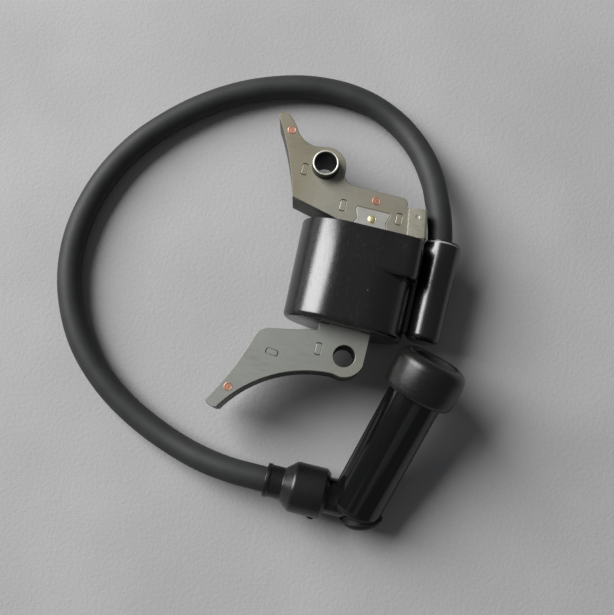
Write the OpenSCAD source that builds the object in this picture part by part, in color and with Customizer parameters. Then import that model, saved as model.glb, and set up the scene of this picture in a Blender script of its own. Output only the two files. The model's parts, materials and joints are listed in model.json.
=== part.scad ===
// Ignition coil for a small engine: a laminated core with two pole arms, a potted coil and
// igniter in a moulded case, and a high-tension lead that ends in an elbow spark plug cap.
//
// Frame: millimetres, +Z up from the surface that the coil lies on. +Y runs along the coil's
// limb towards the upper pole arm, and -X points at the flywheel. The origin is under the
// middle of the coil. The lead and the plug cap lie beside it.

/* [Core] */
// Thickness of the lamination stack
core_t = 13; // [11:0.5:14]
// Radius of the pole faces: the flywheel's rim plus the air gap
pole_r = 84; // [82:0.5:88]
// Width of the limb that passes through the windings
limb_w = 9.8; // [9:0.1:10]
// Radius of the round ears about the mounting holes
ear_r = 6.2; // [5.8:0.1:6.4]
// Radius of the mounting hole in the lower arm
bolt_hole_r = 3.2; // [3:0.05:3.4]
// Inner radius of the steel mounting sleeve
sleeve_r = 3.3; // [3:0.05:3.4]
// Height that the sleeve stands above the stack
sleeve_proud = 3.8; // [1:0.1:6]

/* [Coil case] */
// Thickness of the case
case_t = 28; // [27.5:0.5:30]
// Thickness of the case wall
case_wall = 1.6; // [1.2:0.1:1.8]
// Outer radius of the lead tower
tower_r = 5.6; // [5.4:0.1:5.8]

/* [Lead] */
// Diameter of the high-tension lead
lead_d = 7.5; // [7:0.1:7.6]
// Diameter of the stranded conductor
conductor_d = 1.5; // [1:0.1:2]

/* [Plug cap] */
// Angle by which the cap's tube leans out of square with the lead
elbow_lean = 14; // [10:0.5:18]
// Angle at which the tube stands up from the surface
cap_tilt = 18; // [14:0.5:24]
// Outer radius of the cap's tube
cap_r = 8; // [7.8:0.1:8.2]
// Radius of the well that takes the plug's insulator
well_r = 5.6; // [5.4:0.1:5.7]
// Inner radius of the socket that grips the plug's terminal nut
socket_r = 3.3; // [3.2:0.05:3.4]
// Outer radius of the rubber seal collar
collar_r = 10.8; // [10.2:0.1:11]

/* [Hidden] */
$fn = 64;
eps = 0.01;
fit_gap = 0.05;

// Core
axis_z = case_t/2;
core_z0 = axis_z - core_t/2;
core_z1 = axis_z + core_t/2;
limb_x = 3;
pole_x = -19;
pole_c = [pole_x - pole_r, 0];
tip_x = -31.6;
tip_y = 45.6;
sleeve_c = [-14.1, 32];
bolt_c = [4.6, -22.3];
sleeve_wall = 0.6;
arm_y = 16.8;
arm_end_x = 19.7;
arm_end_y = 25.4;
clip_turn = 9;
clip_l = 5.2;
clip_y = [0.6, 9.5];
root_y = -14.2;
root_half = 7.6;
key_top = 22.4;
rivet_r = 1.1;
rivet_head = 0.2;
mark_size = [2.2, 3.8];
mark_depth = 0.3;

// Case
case_y0 = root_y;
case_y1 = 15.4;
case_left = -17;
case_right = 20;
case_lean = 1;
rim_r = 1.4;
shoulder_y = 3.2;
tower_x = 26;
tower_y0 = -12.2;
tower_foot_r = tower_r - 0.4;
tower_y1 = 18.3;
tower_bore_y0 = 1.5;
potting_y = 14.4;
cavity_y0 = case_y0 + case_wall;

// Windings, as widths in X and Z about the limb
coil_fit = 0.3;
bobbin_wall = 0.9;
primary_in = [limb_w + coil_fit, core_t + coil_fit];
primary_core = primary_in + 2*bobbin_wall*[1, 1];
primary_out = primary_core + [3.5, 3.5];
secondary_in = primary_out + [0.8, 1];
secondary_core = secondary_in + 2*bobbin_wall*[1, 1];
secondary_out = secondary_core + [2.4, 2.4];
flange_out = secondary_out + [0.6, 0.6];
primary_in_r = 0.2;
primary_core_r = 1;
primary_out_r = 5.3;
secondary_in_r = 5.6;
secondary_core_r = 6.5;
secondary_out_r = 7.7;
flange_r = 8;
flange_t = 1;
bobbin_y0 = -12.3;
bobbin_y1 = 13.6;
sections = 4;

// Igniter
board_x = -10.9;
board_t = 1.2;
board_face = board_x + board_t;

// Lead: its centreline from the contact in the tower to the screw in the cap
lead_r = lead_d/2;
lead_z = lead_r + 0.05;
cap_y = -62.2;
cap_z = 8.7;
lead_sides = 10;
contact_y = 6;
lead_end_x = 9;
screw_hole_x = 3;
route = [
    [tower_x, contact_y, axis_z], [tower_x, 9, axis_z], [25.8, 13, axis_z],
    [25.4, 16.2, axis_z], [24.9, 19.4, axis_z],
    [24, 23.5, 13.9], [22.8, 28, 13.3], [21.3, 32.5, 12.2], [19.3, 38, 10.4],
    [15.3, 45.5, 7.8], [10, 52, 5.6],
    [3.5, 57.2, 4.2], [-4.5, 60.9, lead_z], [-13, 62.6, lead_z], [-21.5, 62.7, lead_z],
    [-30, 61.4, lead_z], [-38.6, 58.8, lead_z], [-46.9, 55.1, lead_z], [-54.7, 50.4, lead_z],
    [-62, 44.7, lead_z], [-68.7, 38.2, lead_z], [-74.7, 30.9, lead_z], [-79.5, 22.9, lead_z],
    [-83.1, 14.1, lead_z], [-85.3, 4.9, lead_z], [-86, -4.4, lead_z], [-85, -13.7, lead_z],
    [-82.3, -22.6, lead_z], [-78.1, -31, lead_z], [-72.4, -38.6, lead_z], [-65.3, -45.1, lead_z],
    [-57.2, -50.6, lead_z], [-48.4, -55, 4], [-39.3, -58.4, 5], [-30.1, -60.8, 6.7],
    [-21, -62, 8.1], [-12, cap_y, cap_z], [-2, cap_y, cap_z], [screw_hole_x, cap_y, cap_z],
    [screw_hole_x + 0.5, cap_y, cap_z], [lead_end_x, cap_y, cap_z]];

// Plug cap, measured from the elbow, where the lead's axis meets the tube's
elbow = [18.6, cap_y, cap_z];
neck_r = 5.4;
neck_x0 = 1.5;
heel_shift = 1.1;
heel_r = 5.8;
heel_lip_r = 6.4;
heel_lip = 4.4;
heel_end = 7.9;
tube_start = -3;
tube_end = 44;
chamber_r = 3.7;
chamber_start = -1.5;
plate_t = 3.2;
resistor_start = 8;
resistor_end = 18.5;
socket_base = 19.5;
socket_floor = 20.7;
socket_end = 30;
socket_chamber_r = 5;
well_start = 30.2;
clip_at = 26.5;
clip_wire_r = 0.35;
screw_r = 1.1;

// ---- Shared shapes -------------------------------------------------------------------

function unit(v) = v/norm(v);

function arc(c, r, a0, a1, n = 16) =
    [for (i = [0:n]) let (a = a0 + (a1 - a0)*i/n) c + r*[cos(a), sin(a)]];

// Direction of a route at point i, from its neighbours
function heading(path, i) =
    unit(path[min(i + 1, len(path) - 1)] - path[max(i - 1, 0)]);

// Circle of n points about p, square to direction t
function ring(p, t, r, n) =
    let (side = unit(cross(t, [0, 0, 1])), top = cross(side, t))
    [for (k = [0:n - 1]) p + r*(cos(360*k/n)*side + sin(360*k/n)*top)];

function skin(path, r, n) =
    [for (i = [0:len(path) - 1]) each ring(path[i], heading(path, i), is_list(r) ? r[i] : r, n)];

function skin_faces(rings, n, first = 0, flip = false) =
    [for (i = [0:rings - 2], k = [0:n - 1])
        let (a = first + i*n + k, b = first + i*n + (k + 1)%n)
        flip ? [a, b, b + n, a + n] : [a, a + n, b + n, b]];

// Round rod swept along a path
module swept_rod(path, r, n) {
    m = len(path);
    ends = [[for (k = [0:n - 1]) k], [for (k = [n - 1:-1:0]) (m - 1)*n + k]];
    polyhedron(skin(path, r, n), concat(skin_faces(m, n), ends), convexity = 10);
}

// Round tube swept along a path: the bore's radius may differ from ring to ring
module swept_tube(path, r, bore, n) {
    m = len(path);
    inner = m*n;
    start = [for (k = [0:n - 1]) let (j = (k + 1)%n) [k, j, inner + j, inner + k]];
    last = (m - 1)*n;
    end = [for (k = [0:n - 1]) let (j = (k + 1)%n)
        [last + k, inner + last + k, inner + last + j, last + j]];
    polyhedron(concat(skin(path, r, n), skin(path, bore, n)),
               concat(skin_faces(m, n), skin_faces(m, n, inner, true), start, end),
               convexity = 10);
}

// Extrudes a flat X-Z outline along Y
module along_y(y0, y1) {
    translate([0, y1, 0]) rotate([90, 0, 0]) linear_extrude(y1 - y0) children();
}

module rounded_rect(size, r) {
    square([size.x - 2*r, size.y], center = true);
    square([size.x, size.y - 2*r], center = true);
    for (sx = [-1, 1], sy = [-1, 1])
        translate([sx*(size.x/2 - r), sy*(size.y/2 - r)]) circle(r);
}

// Ring about the limb, between two places along Y, with round corners outside and inside
module coil_ring(outer, r_outer, inner, r_inner, y0, y1) {
    along_y(y0, y1) translate([limb_x, axis_z]) difference() {
        rounded_rect(outer, r_outer);
        rounded_rect(inner, r_inner);
    }
}

// Turns +Z to the cap tube's axis, with the elbow at the origin
module on_tube_axis() {
    translate(elbow) rotate([cap_tilt, 0, 0]) rotate([0, 0, -elbow_lean]) rotate([-90, 0, 0])
        children();
}

// Turns +Z to +X along the lead's last straight stretch
module on_lead_axis() {
    translate([0, cap_y, cap_z]) rotate([0, 90, 0]) children();
}

module stack() {
    translate([0, 0, core_z0]) linear_extrude(core_t) children();
}

// ---- Laminated core ------------------------------------------------------------------

module key_outline() {
    half = limb_w/2;
    side = [[half, arm_y - 1], [half, 17.6], [half - 0.6, 19], [half + 0.3, 21.4],
            [half + 0.1, key_top]];
    translate([limb_x, 0])
        polygon(concat(side, [for (i = [len(side) - 1:-1:0]) [-side[i].x, side[i].y]]));
}

module lower_arm_outline() {
    polygon(concat(
        [[limb_x + root_half, root_y], [limb_x - root_half, root_y],
         [limb_x - root_half, -16.4], [-10, -17.8], [-19.3, -19.6], [-21.2, -20.8]],
        arc(pole_c, pole_r, -15.2, -31.4),
        [[-31.1, -44.5], [-30.4, -45.1], [-28.9, -tip_y], [-27.7, -45.3]],
        arc([3.5, -65], 37, 146, 92),
        arc(bolt_c, ear_r, -90, -15),
        [[limb_x + root_half, -20.4]]));
}

module upper_arm_outline() {
    polygon(concat(
        arc(pole_c, pole_r, 14.2, 31.4),
        [[tip_x, 45], [-31.1, tip_y], [-28.8, tip_y], [-26.9, 44]],
        arc([-18.2, 45.4], 7.9, 205, 270),
        arc(sleeve_c, ear_r, 105, 0),
        arc([-4.4, 31.7], 3.5, 180, 270),
        arc([10.5, 26.2], 2, 90, 0),
        [[12.5, arm_end_y], [arm_end_x - (arm_end_y - arm_y)*tan(clip_turn), arm_end_y],
         [arm_end_x, arm_y], [-6.2, arm_y], [-9.6, 17.8]]));
}

// Punched marks that lock the laminations together
module interlock(place, turn = 0) {
    translate([place.x, place.y, core_z1 - mark_depth]) rotate([0, 0, turn])
        linear_extrude(mark_depth + eps) square(mark_size, center = true);
}

module rivet_hole(place) {
    translate([place.x, place.y, core_z0 - eps]) cylinder(r = rivet_r, h = core_t + 2*eps);
}

module rivet(place) {
    translate([place.x, place.y, core_z0 - rivet_head])
        cylinder(r = rivet_r, h = core_t + 2*rivet_head);
}

limb_rivet_c = [limb_x + 0.1, 19.4];
arm_rivet_c = [limb_x + 0.1, 25.2];
upper_tip_rivet_c = [-26.7, 40.7];
lower_tip_rivet_c = [-25.9, -38.8];

module core_leg() {
    color([0.72, 0.72, 0.68]) difference() {
        stack() {
            lower_arm_outline();
            translate([limb_x - limb_w/2, root_y - 1]) square([limb_w, arm_y - root_y + 1]);
            key_outline();
        }
        translate([bolt_c.x, bolt_c.y, core_z0 - eps])
            cylinder(r = bolt_hole_r, h = core_t + 2*eps);
        rivet_hole(limb_rivet_c);
        rivet_hole(lower_tip_rivet_c);
        interlock([-16.1, -26.1], 85);
        interlock([-3.2, -22]);
    }
}

module core_arm() {
    color([0.66, 0.65, 0.59]) difference() {
        stack() difference() {
            upper_arm_outline();
            key_outline();
        }
        translate([sleeve_c.x, sleeve_c.y, core_z0 - eps])
            cylinder(r = sleeve_r + sleeve_wall, h = core_t + 2*eps);
        rivet_hole(arm_rivet_c);
        rivet_hole(upper_tip_rivet_c);
        interlock([-20, 29.7]);
        interlock([-6.3, 21.6]);
        interlock([10.9, 21.4]);
    }
}

module limb_rivet() {
    color([0.80, 0.66, 0.36]) rivet(limb_rivet_c);
}

module core_rivets() {
    color([0.80, 0.42, 0.32]) {
        rivet(arm_rivet_c);
        rivet(upper_tip_rivet_c);
        rivet(lower_tip_rivet_c);
    }
}

module mounting_sleeve() {
    height = core_t + sleeve_proud;
    color([0.78, 0.78, 0.76]) translate([sleeve_c.x, sleeve_c.y, core_z0]) difference() {
        cylinder(r = sleeve_r + sleeve_wall, h = height);
        translate([0, 0, -eps]) cylinder(r = sleeve_r, h = height + 2*eps);
    }
}

// Sheet clip folded round the end of the upper arm
module ground_clip() {
    sheet = 0.5;
    w = clip_y[1] - clip_y[0];
    color([0.80, 0.80, 0.78]) translate([arm_end_x, arm_y, 0]) rotate([0, 0, clip_turn])
        difference() {
            union() {
                for (z = [core_z0 - sheet, core_z1])
                    translate([-clip_l, clip_y[0], z]) cube([clip_l + sheet, w, sheet]);
                translate([0, clip_y[0], core_z0 - sheet]) cube([sheet, w, core_t + 2*sheet]);
            }
            translate([-2.5, 7, core_z1 + sheet - 0.2]) cylinder(r = 0.7, h = 1);
        }
}

// ---- Case and what it holds ----------------------------------------------------------

left_c = case_left + case_t/2;
right_c = case_right - case_t/2;

// Round-ended outline in X-Z of what the case wall encloses
module cavity_outline() {
    r = case_t/2 - case_wall;
    left = left_c + case_lean;
    translate([left, axis_z]) circle(r);
    translate([right_c, axis_z]) circle(r);
    translate([left, axis_z - r]) square([right_c - left, 2*r]);
}

// Drum along Y, of radius r at its upper end and foot_r at its rounded lower rim
module rimmed_drum(r, foot_r, y0, y1, rim, fn) {
    h = y1 - y0;
    translate([0, y1, axis_z]) rotate([90, 0, 0]) rotate_extrude($fn = fn)
        polygon(concat([[0, 0], [r, 0]], arc([foot_r - rim, h - rim], rim, 0, 90, 6), [[0, h]]));
}

// Round-ended drum whose left side leans in towards the closed end
module case_body() {
    r = case_t/2;
    hull() {
        translate([left_c, 0, 0]) rimmed_drum(r, r, case_y1 - 1, case_y1, 0.2, 48);
        translate([left_c + case_lean, 0, 0])
            rimmed_drum(r, r, case_y0, case_y0 + 2*rim_r, rim_r, 48);
        translate([right_c, 0, 0]) rimmed_drum(r, r, case_y0, case_y1, rim_r, 48);
    }
}

// Shoulder that carries the high-tension contact out to the tower
module case_shoulder() {
    corner = 1.6;
    side_corner = 5;
    x0 = 4;
    intersection() {
        along_y(shoulder_y, case_y1) translate([(x0 + case_right)/2, axis_z])
            rounded_rect([case_right - x0, case_t], side_corner);
        translate([(x0 + case_right)/2, (shoulder_y + case_y1 + 10)/2, 0])
            linear_extrude(case_t) rounded_rect([case_right - x0, case_y1 + 10 - shoulder_y], corner);
    }
}

module case_web() {
    web_t = 3;
    x0 = case_right - 3;
    translate([x0, tower_y0 + 1.5, axis_z - web_t/2])
        cube([tower_x - x0, case_y1 - tower_y0 - 1.5, web_t]);
}

module coil_case() {
    grommet_bore = 4.8;
    lead_bore = 4.2;
    color([0.05, 0.05, 0.055]) difference() {
        union() {
            case_body();
            case_shoulder();
            case_web();
            translate([tower_x, 0, 0])
                rimmed_drum(tower_r, tower_foot_r, tower_y0, tower_y1, 2, 64);
        }
        along_y(cavity_y0, case_y1 + 1) cavity_outline();
        along_y(case_y0 - 1, cavity_y0 + 1) translate([limb_x, axis_z])
            square([limb_w, core_t], center = true);
        translate([tower_x, tower_y1 + eps, axis_z]) rotate([90, 0, 0]) {
            cylinder(r = lead_bore, h = tower_y1 - tower_bore_y0 + eps);
            cylinder(r = grommet_bore, h = 6 + eps);
        }
        translate([15, 3.5, axis_z]) rotate([0, 90, 0]) cylinder(r = 0.65, h = 8);
    }
}

module potting() {
    pocket = 0.1;
    color([0.10, 0.09, 0.08]) difference() {
        along_y(cavity_y0, potting_y) cavity_outline();
        along_y(cavity_y0 - 1, bobbin_y1) translate([limb_x, axis_z])
            square([flange_out.x + 2*pocket, case_t], center = true);
        along_y(cavity_y0 - 1, potting_y + 1) translate([limb_x, axis_z])
            square([limb_w, core_t], center = true);
        translate([board_x - pocket, -9 - pocket, axis_z - 8 - pocket])
            cube([board_t + 2*pocket, 18 + 2*pocket, 16 + 2*pocket]);
        translate([board_face, -8, axis_z - 7]) cube([4, 16, 14]);
        translate([15.5, 12 - pocket, core_z1 + 0.5]) rotate([-90, 0, 0])
            cylinder(r = 0.5, h = 5);
        translate([12, 3.5, axis_z]) rotate([0, 90, 0]) cylinder(r = 0.65, h = 8);
    }
}

module primary_bobbin() {
    flange = primary_out + [0.4, 0.4];
    color([0.82, 0.80, 0.72]) {
        coil_ring(primary_core, primary_core_r, primary_in, primary_in_r, bobbin_y0, bobbin_y1);
        for (y = [bobbin_y0, bobbin_y1 - flange_t])
            coil_ring(flange, primary_out_r, primary_in, primary_in_r, y, y + flange_t);
    }
}

module primary_winding() {
    color([0.72, 0.38, 0.20])
        coil_ring(primary_out, primary_out_r, primary_core, primary_core_r,
                  bobbin_y0 + flange_t, bobbin_y1 - flange_t);
}

section_y0 = bobbin_y0 + 0.6;
section_y1 = bobbin_y1 - 0.6;
section_pitch = (section_y1 - section_y0 - flange_t)/sections;

module secondary_bobbin() {
    color([0.86, 0.84, 0.78]) {
        coil_ring(secondary_core, secondary_core_r, secondary_in, secondary_in_r,
                  section_y0, section_y1);
        for (i = [0:sections])
            coil_ring(flange_out, flange_r, secondary_in, secondary_in_r,
                      section_y0 + i*section_pitch, section_y0 + i*section_pitch + flange_t);
    }
}

module secondary_winding() {
    color([0.66, 0.33, 0.18])
        for (i = [0:sections - 1])
            coil_ring(secondary_out, secondary_out_r, secondary_core, secondary_core_r,
                      section_y0 + i*section_pitch + flange_t,
                      section_y0 + (i + 1)*section_pitch);
}

module igniter_board() {
    color([0.12, 0.38, 0.20])
        translate([board_x, -9, axis_z - 8]) cube([board_t, 18, 16]);
}

module power_transistor() {
    color([0.08, 0.08, 0.09])
        translate([board_face, -5, axis_z - 6]) cube([1.8, 9, 7]);
}

// Surface-mounted resistors, capacitor and controller on the board
module igniter_parts() {
    color([0.15, 0.14, 0.13]) {
        for (y = [-7, -4, -1])
            translate([board_face, y, axis_z + 3]) cube([0.8, 1.6, 3.2]);
        translate([board_face, 2, axis_z + 2]) cube([1.4, 4.6, 4.4]);
        translate([board_face, 6.4, axis_z - 2]) rotate([0, 90, 0]) cylinder(r = 1.3, h = 1.6);
    }
}

module ground_wire() {
    color([0.75, 0.75, 0.73]) translate([15.5, 12, core_z1 + 0.5]) rotate([-90, 0, 0])
        cylinder(r = 0.45, h = 4.65);
}

module ht_link() {
    start = limb_x + secondary_out.x/2;
    color([0.75, 0.62, 0.35]) translate([start, 3.5, axis_z]) rotate([0, 90, 0])
        cylinder(r = 0.6, h = tower_x - lead_r - start);
}

module ht_contact() {
    color([0.80, 0.66, 0.36]) translate([tower_x, contact_y, axis_z]) {
        rotate([90, 0, 0]) cylinder(r = lead_r, h = contact_y - tower_bore_y0);
        rotate([-90, 0, 0]) cylinder(r1 = 0.6, r2 = 0.2, h = 6.5);
    }
}

// ---- Lead ----------------------------------------------------------------------------

module lead_grommet() {
    flange_r = 5.2;
    flange_h = 0.6;
    color([0.07, 0.07, 0.07]) translate([tower_x, tower_y1 + flange_h, axis_z])
        rotate([90, 0, 0]) rotate_extrude()
            polygon([[lead_r, 0], [flange_r - 0.3, 0], [flange_r, 0.3], [flange_r, flange_h],
                     [4.8, flange_h], [4.8, flange_h + 6], [lead_r, flange_h + 6]]);
}

module lead_insulation() {
    wire_bore = conductor_d/2 + fit_gap;
    screw_bore = screw_r + 0.1;
    bores = [for (p = route) p.x > screw_hole_x && p.y == cap_y ? screw_bore : wire_bore];
    color([0.13, 0.13, 0.14]) swept_tube(route, lead_r, bores, lead_sides);
}

module lead_conductor() {
    strands = [for (i = [1:len(route) - 3]) route[i]];
    color([0.78, 0.45, 0.30]) swept_rod(strands, conductor_d/2, lead_sides);
}

// ---- Plug cap ------------------------------------------------------------------------

module cable_boot() {
    color([0.08, 0.08, 0.085]) on_lead_axis() rotate_extrude()
        polygon([[lead_r + fit_gap, -9.4], [4.9, -9.4], [5.1, -9.1], [5.1, -8.3], [4.8, -8],
                 [4.8, -4], [6.3, -2.6], [7.1, -1.5], [7.5, 0.3], [7.5, 8.1], [6.5, 9.3],
                 [neck_r, 9.3], [neck_r, neck_x0], [lead_r + fit_gap, neck_x0]]);
    color([0.08, 0.08, 0.085]) translate([6.1, cap_y - 6.5, cap_z - 1.6])
        cylinder(r = 1.6, h = 1.6);
}

// Lipped foot with a low dome, opposite the tube
module heel() {
    dome_h = heel_end - heel_lip - 0.8;
    dome_r = (pow(heel_r, 2) + pow(dome_h, 2))/(2*dome_h);
    dome = arc([0, heel_end - dome_r], dome_r, 90 - asin(heel_r/dome_r), 90, 10);
    translate(elbow) rotate([cap_tilt, 0, 0]) rotate([0, 0, elbow_lean])
        translate([heel_shift, 0, 0]) rotate([90, 0, 0]) rotate_extrude()
            polygon(concat([[0, 0], [heel_r, 0], [heel_r, heel_lip], [heel_lip_r, heel_lip],
                            [heel_lip_r, heel_lip + 0.8]], dome));
}

module cap_shell() {
    color([0.04, 0.04, 0.045]) difference() {
        union() {
            on_tube_axis() translate([0, 0, tube_start])
                cylinder(r = cap_r, h = tube_end - tube_start);
            heel();
            on_lead_axis() translate([0, 0, neck_x0])
                cylinder(r = neck_r, h = elbow.x - neck_x0);
        }
        on_tube_axis() {
            translate([0, 0, chamber_start])
                cylinder(r = chamber_r, h = tube_end - chamber_start);
            translate([0, 0, socket_base]) cylinder(r = socket_chamber_r, h = tube_end);
            translate([0, 0, well_start]) cylinder(r = well_r, h = tube_end);
        }
        on_lead_axis() {
            translate([0, 0, neck_x0 - eps])
                cylinder(r = lead_r + 2*fit_gap, h = lead_end_x + 0.2 - neck_x0);
            cylinder(r = 1.6, h = elbow.x - 1);
        }
    }
}

// Pointed terminal screw that the lead is turned onto, with its head plate in the cap
module lead_screw() {
    color([0.80, 0.66, 0.36]) {
        on_lead_axis() {
            translate([0, 0, screw_hole_x + 0.7]) cylinder(r1 = 0.2, r2 = screw_r, h = 1.6);
            translate([0, 0, screw_hole_x + 2.3]) cylinder(r = screw_r, h = 5);
            translate([0, 0, lead_end_x + 0.2])
                cylinder(r = 1.6, h = elbow.x - 1 - lead_end_x - 0.2);
        }
        on_tube_axis() translate([0, 0, chamber_start])
            cylinder(r = chamber_r - 0.1, h = plate_t);
    }
}

module contact_spring() {
    turns = 3.5;
    steps = 12;
    wire_r = 0.35;
    z0 = chamber_start + plate_t + wire_r;
    rise = resistor_start - wire_r - z0;
    coil_r = 2.6;
    helix = [for (i = [0:turns*steps])
        [coil_r*cos(360*i/steps), coil_r*sin(360*i/steps), z0 + rise*i/(turns*steps)]];
    color([0.74, 0.74, 0.72]) on_tube_axis() swept_rod(helix, wire_r, 8);
}

module cap_resistor() {
    h = resistor_end - resistor_start;
    color([0.86, 0.84, 0.78]) on_tube_axis() translate([0, 0, resistor_start])
        rotate_extrude()
            polygon([[0, 0], [2.9, 0], [2.9, 1.6], [2.6, 1.9], [2.6, h - 1.9], [2.9, h - 1.6],
                     [2.9, h], [0, h]]);
}

module plug_terminal() {
    wall_r = 4.4;
    groove_r = 4.1;
    color([0.80, 0.66, 0.36]) on_tube_axis() difference() {
        union() {
            translate([0, 0, resistor_end]) cylinder(r = chamber_r - 0.1, h = 2);
            translate([0, 0, socket_base]) cylinder(r = socket_chamber_r - 0.1, h = 1);
            translate([0, 0, socket_base]) cylinder(r = wall_r, h = socket_end - socket_base);
        }
        translate([0, 0, socket_floor])
            cylinder(r = socket_r, h = socket_end - socket_floor + eps);
        translate([0, 0, clip_at - clip_wire_r]) difference() {
            cylinder(r = wall_r + 1, h = 2*clip_wire_r);
            cylinder(r = groove_r, h = 2*clip_wire_r);
        }
    }
}

// Wire ring that squeezes the socket onto the plug's terminal nut
module terminal_clip() {
    color([0.74, 0.74, 0.72]) on_tube_axis() translate([0, 0, clip_at])
        rotate_extrude() translate([4.1 + clip_wire_r, 0]) circle(clip_wire_r, $fn = 24);
}

module seal_collar() {
    mouth = 49;
    back = 36.3;
    lip_r = 6.6;
    color([0.07, 0.07, 0.075]) on_tube_axis() rotate_extrude()
        polygon(concat(
            [[cap_r, tube_end], [cap_r, back]],
            arc([collar_r - 2.6, back + 2.6], 2.6, -75, 0, 8),
            arc([collar_r - 3, mouth - 3], 3, 0, 80, 8),
            arc([lip_r + 0.9, mouth - 0.9], 0.9, 90, 180, 4),
            [[lip_r, tube_end]]));
}

core_leg();
core_arm();
limb_rivet();
core_rivets();
mounting_sleeve();
ground_clip();
coil_case();
potting();
primary_bobbin();
primary_winding();
secondary_bobbin();
secondary_winding();
igniter_board();
power_transistor();
igniter_parts();
ground_wire();
ht_link();
ht_contact();
lead_grommet();
lead_insulation();
lead_conductor();
cable_boot();
cap_shell();
lead_screw();
contact_spring();
cap_resistor();
plug_terminal();
terminal_clip();
seal_collar();
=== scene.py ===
"""Looks of a small-engine ignition coil: laminated core, potted case, lead and plug cap.

Everything is in the row frame. Lengths are written in millimetres and turned into metres
where a mesh, a light or the camera is made.
"""

import json
import math

import bmesh
import bpy
from mathutils import Matrix, Vector
from mathutils.geometry import interpolate_bezier


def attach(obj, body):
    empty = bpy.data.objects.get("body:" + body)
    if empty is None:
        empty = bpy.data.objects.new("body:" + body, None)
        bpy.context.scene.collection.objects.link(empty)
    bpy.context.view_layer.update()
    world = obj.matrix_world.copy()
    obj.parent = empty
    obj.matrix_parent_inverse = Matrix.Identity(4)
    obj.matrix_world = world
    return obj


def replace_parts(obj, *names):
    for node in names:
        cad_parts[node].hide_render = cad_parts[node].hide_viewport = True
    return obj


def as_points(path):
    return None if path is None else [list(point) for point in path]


MM = 0.001
COIL = "coil"
CAP = "plug_cap"

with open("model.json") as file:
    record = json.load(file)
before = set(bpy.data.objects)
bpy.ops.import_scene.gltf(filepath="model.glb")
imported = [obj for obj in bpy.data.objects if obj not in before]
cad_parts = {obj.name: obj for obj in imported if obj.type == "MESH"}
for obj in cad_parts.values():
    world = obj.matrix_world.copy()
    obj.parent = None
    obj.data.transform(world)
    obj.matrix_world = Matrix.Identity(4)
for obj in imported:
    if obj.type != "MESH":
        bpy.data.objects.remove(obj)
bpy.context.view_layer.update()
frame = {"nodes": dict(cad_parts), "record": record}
nodes = frame["nodes"]

# ---- Sizes shared with the CAD, in millimetres ----------------------------------------

AXIS_Z = 14.0
CORE_BOTTOM = 7.5
CORE_TOP = 20.5
SHEET = 0.5
CASE_LEFT, CASE_RIGHT = -17.0, 20.0
CASE_RADIUS = 14.0
CASE_BOTTOM, CASE_MOUTH = -14.2, 15.4
CASE_LEAN = 1.0
CASE_WALL = 1.6
CASE_RIM = 1.4
SHOULDER_X, SHOULDER_Y, SHOULDER_CORNER = 2.0, 3.2, 5.0
TOWER_X = 26.0
TOWER_RADIUS, TOWER_FOOT_RADIUS = 5.6, 5.2
TOWER_BOTTOM, TOWER_TOP = -12.2, 18.3
TOWER_BORE_START, LEAD_BORE = 1.5, 4.2
GROMMET_RADIUS, GROMMET_DEPTH = 4.8, 6.0
GROMMET_FLANGE, GROMMET_PROUD = 5.2, 0.6
WEB_THICKNESS = 3.0
LIMB_X = 3.0
LIMB_WIDTH = 9.8
ARM_END = (19.7, 16.8)
CLIP_TURN = math.radians(9)
CLIP_LENGTH, CLIP_FRONT, CLIP_BACK = 5.2, 0.6, 9.5
LEAD_RADIUS, LEAD_END = 3.75, 9.0
LEAD_Z = 3.8
SLEEVE_CENTRE = (-14.1, 32.0)
SLEEVE_RADIUS, SLEEVE_WALL, SLEEVE_PROUD = 3.3, 0.6, 3.8
LIMB_RIVET = (3.1, 19.4)
CORE_RIVETS = [(3.1, 25.2), (-26.7, 40.7), (-25.9, -38.8)]
CAP_Y, CAP_Z = -62.2, 8.7
ELBOW = Vector((18.6, CAP_Y, CAP_Z))
ELBOW_LEAN, CAP_TILT = math.radians(14), math.radians(18)
TUBE_RADIUS, TUBE_START, TUBE_END = 8.0, -3.0, 44.0
NECK_RADIUS, NECK_START = 5.4, 1.5
HEEL_SHIFT, HEEL_RADIUS, HEEL_END = 1.1, 5.8, 7.9
HEEL_LIP_RADIUS, HEEL_LIP, HEEL_LIP_TOP = 6.4, 4.4, 5.2
CHAMBER_RADIUS, CHAMBER_START = 3.7, -1.5
SOCKET_CHAMBER_RADIUS, SOCKET_BASE = 5.0, 19.5
WELL_RADIUS, WELL_START = 5.6, 30.2
SCREW_HOLE = 1.6
COLLAR_RADIUS, COLLAR_BACK, COLLAR_MOUTH, COLLAR_LIP = 10.8, 36.3, 49.0, 6.6
BOOT_START, BOOT_END = -9.4, 9.3
BOOT_CUFF_RADIUS, BOOT_WAIST_RADIUS, BOOT_RADIUS = 5.0, 4.8, 7.5
LUG_CENTRE = (6.1, CAP_Y - 6.5, CAP_Z - 0.8)
LUG_RADIUS, LUG_HALF = 1.6, 0.8

# ---- Sizes that only the looks have, in millimetres -----------------------------------

# Height of the band at the tower's rim that is painted as a highlight
RIM_HIGHLIGHT_BAND = 0.45
BOOT_CONE = -4.1
SEAM_PROUD, SEAM_HALF = 0.16, 0.14
SHEET_GROOVE, SHEET_BOTTOM_WEAR, SHEET_TOP_WEAR = 0.07, 0.12, 0.17
LIMB_RIVET_DOME, CORE_RIVET_DOME = 0.28, 0.13

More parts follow.
